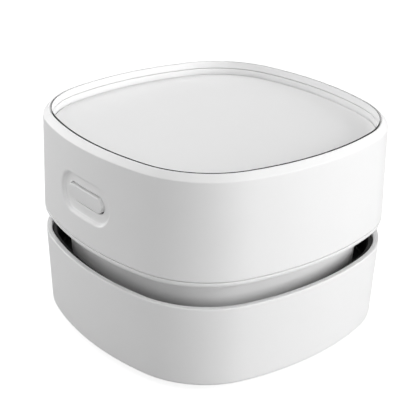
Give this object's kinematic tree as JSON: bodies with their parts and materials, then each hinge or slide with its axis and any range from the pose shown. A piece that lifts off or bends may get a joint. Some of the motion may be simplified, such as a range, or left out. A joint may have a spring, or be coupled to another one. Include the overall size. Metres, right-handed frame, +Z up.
{
  "type": "desktop mini vacuum cleaner",
  "caption": "Rounded-square desktop crumb vacuum: dust cup with bottom inlet and brush, lift-out filter tray, and a motor unit on a grey neck with a side push button and USB-C socket.",
  "frame": {"origin": "centre of the glide feet's underside, on the surface that the vacuum stands on", "axes": "+Z up, -Y out of the face with the power button, +Y out of the face with the charging socket"},
  "size_m": [0.086, 0.086, 0.059],
  "materials": {
    "white_shell": "satin white moulded ABS",
    "panel_satin": "fine satin light grey plastic",
    "neck_grey": "silver-grey moulded plastic",
    "black_plastic": "matt black moulded plastic",
    "soft_black": "soft black elastomer",
    "foot_rubber": "dark grey elastomer",
    "nylon": "black nylon bristle",
    "filter_paper": "folded non-woven sheet",
    "button_plastic": "smooth white plastic",
    "screw_steel": "zinc plated steel",
    "motor_steel": "drawn plated steel",
    "bush_bronze": "sintered bronze",
    "magnet_ferrite": "sintered ferrite",
    "fan_plastic": "glass-filled nylon",
    "battery_foil": "aluminium laminate pouch",
    "foam_tape": "closed-cell foam tape",
    "board_green": "glass-epoxy board with solder mask",
    "chip_black": "moulded epoxy"
  },
  "bodies": {
    "dust_cup": {"lower_shell": "white_shell", "inlet_duct": "black_plastic", "brush_ring": "black_plastic", "bristle_tufts": "nylon", "glide_feet": "foot_rubber"},
    "filter_unit": {"filter_tray": "black_plastic", "filter_frame": "panel_satin", "filter_media": "filter_paper", "neck_gasket": "soft_black"},
    "upper_unit": {"neck_ring": "neck_grey", "bottom_cover": "white_shell", "upper_housing": "white_shell", "top_panel": "panel_satin", "housing_screws": "screw_steel", "fan_deck": "black_plastic", "motor_can": "motor_steel", "motor_end_cap": "black_plastic", "motor_magnet": "magnet_ferrite", "motor_bushes": "bush_bronze", "motor_screws": "screw_steel", "battery_cell": "battery_foil", "battery_tape": "foam_tape", "main_board": "board_green", "board_parts": "chip_black", "charging_socket": "motor_steel", "board_screws": "screw_steel", "button_board": "board_green", "push_switch": "chip_black"},
    "impeller_unit": {"impeller": "fan_plastic", "motor_shaft": "motor_steel", "motor_armature": "motor_steel"},
    "button_unit": {"power_button": "button_plastic", "switch_plunger": "black_plastic"}
  },
  "joints": [
    {"name": "filter_lift", "type": "slide", "parent": "dust_cup", "child": "filter_unit", "axis": [0, 0, 1], "range_m": [0, 0.045]},
    {"name": "upper_lift", "type": "slide", "parent": "filter_unit", "child": "upper_unit", "axis": [0, 0, 1], "range_m": [0, 0.06]},
    {"name": "impeller_spin", "type": "hinge", "parent": "upper_unit", "child": "impeller_unit", "pos_m": [0, 0, 0.036], "axis": [0, 0, 1], "continuous": true},
    {"name": "button_press", "type": "slide", "parent": "upper_unit", "child": "button_unit", "axis": [0, 1, 0], "range_m": [0, 0.0009], "stiffness_N_per_m": 1500, "springref_m": -0.0005}
  ]
}
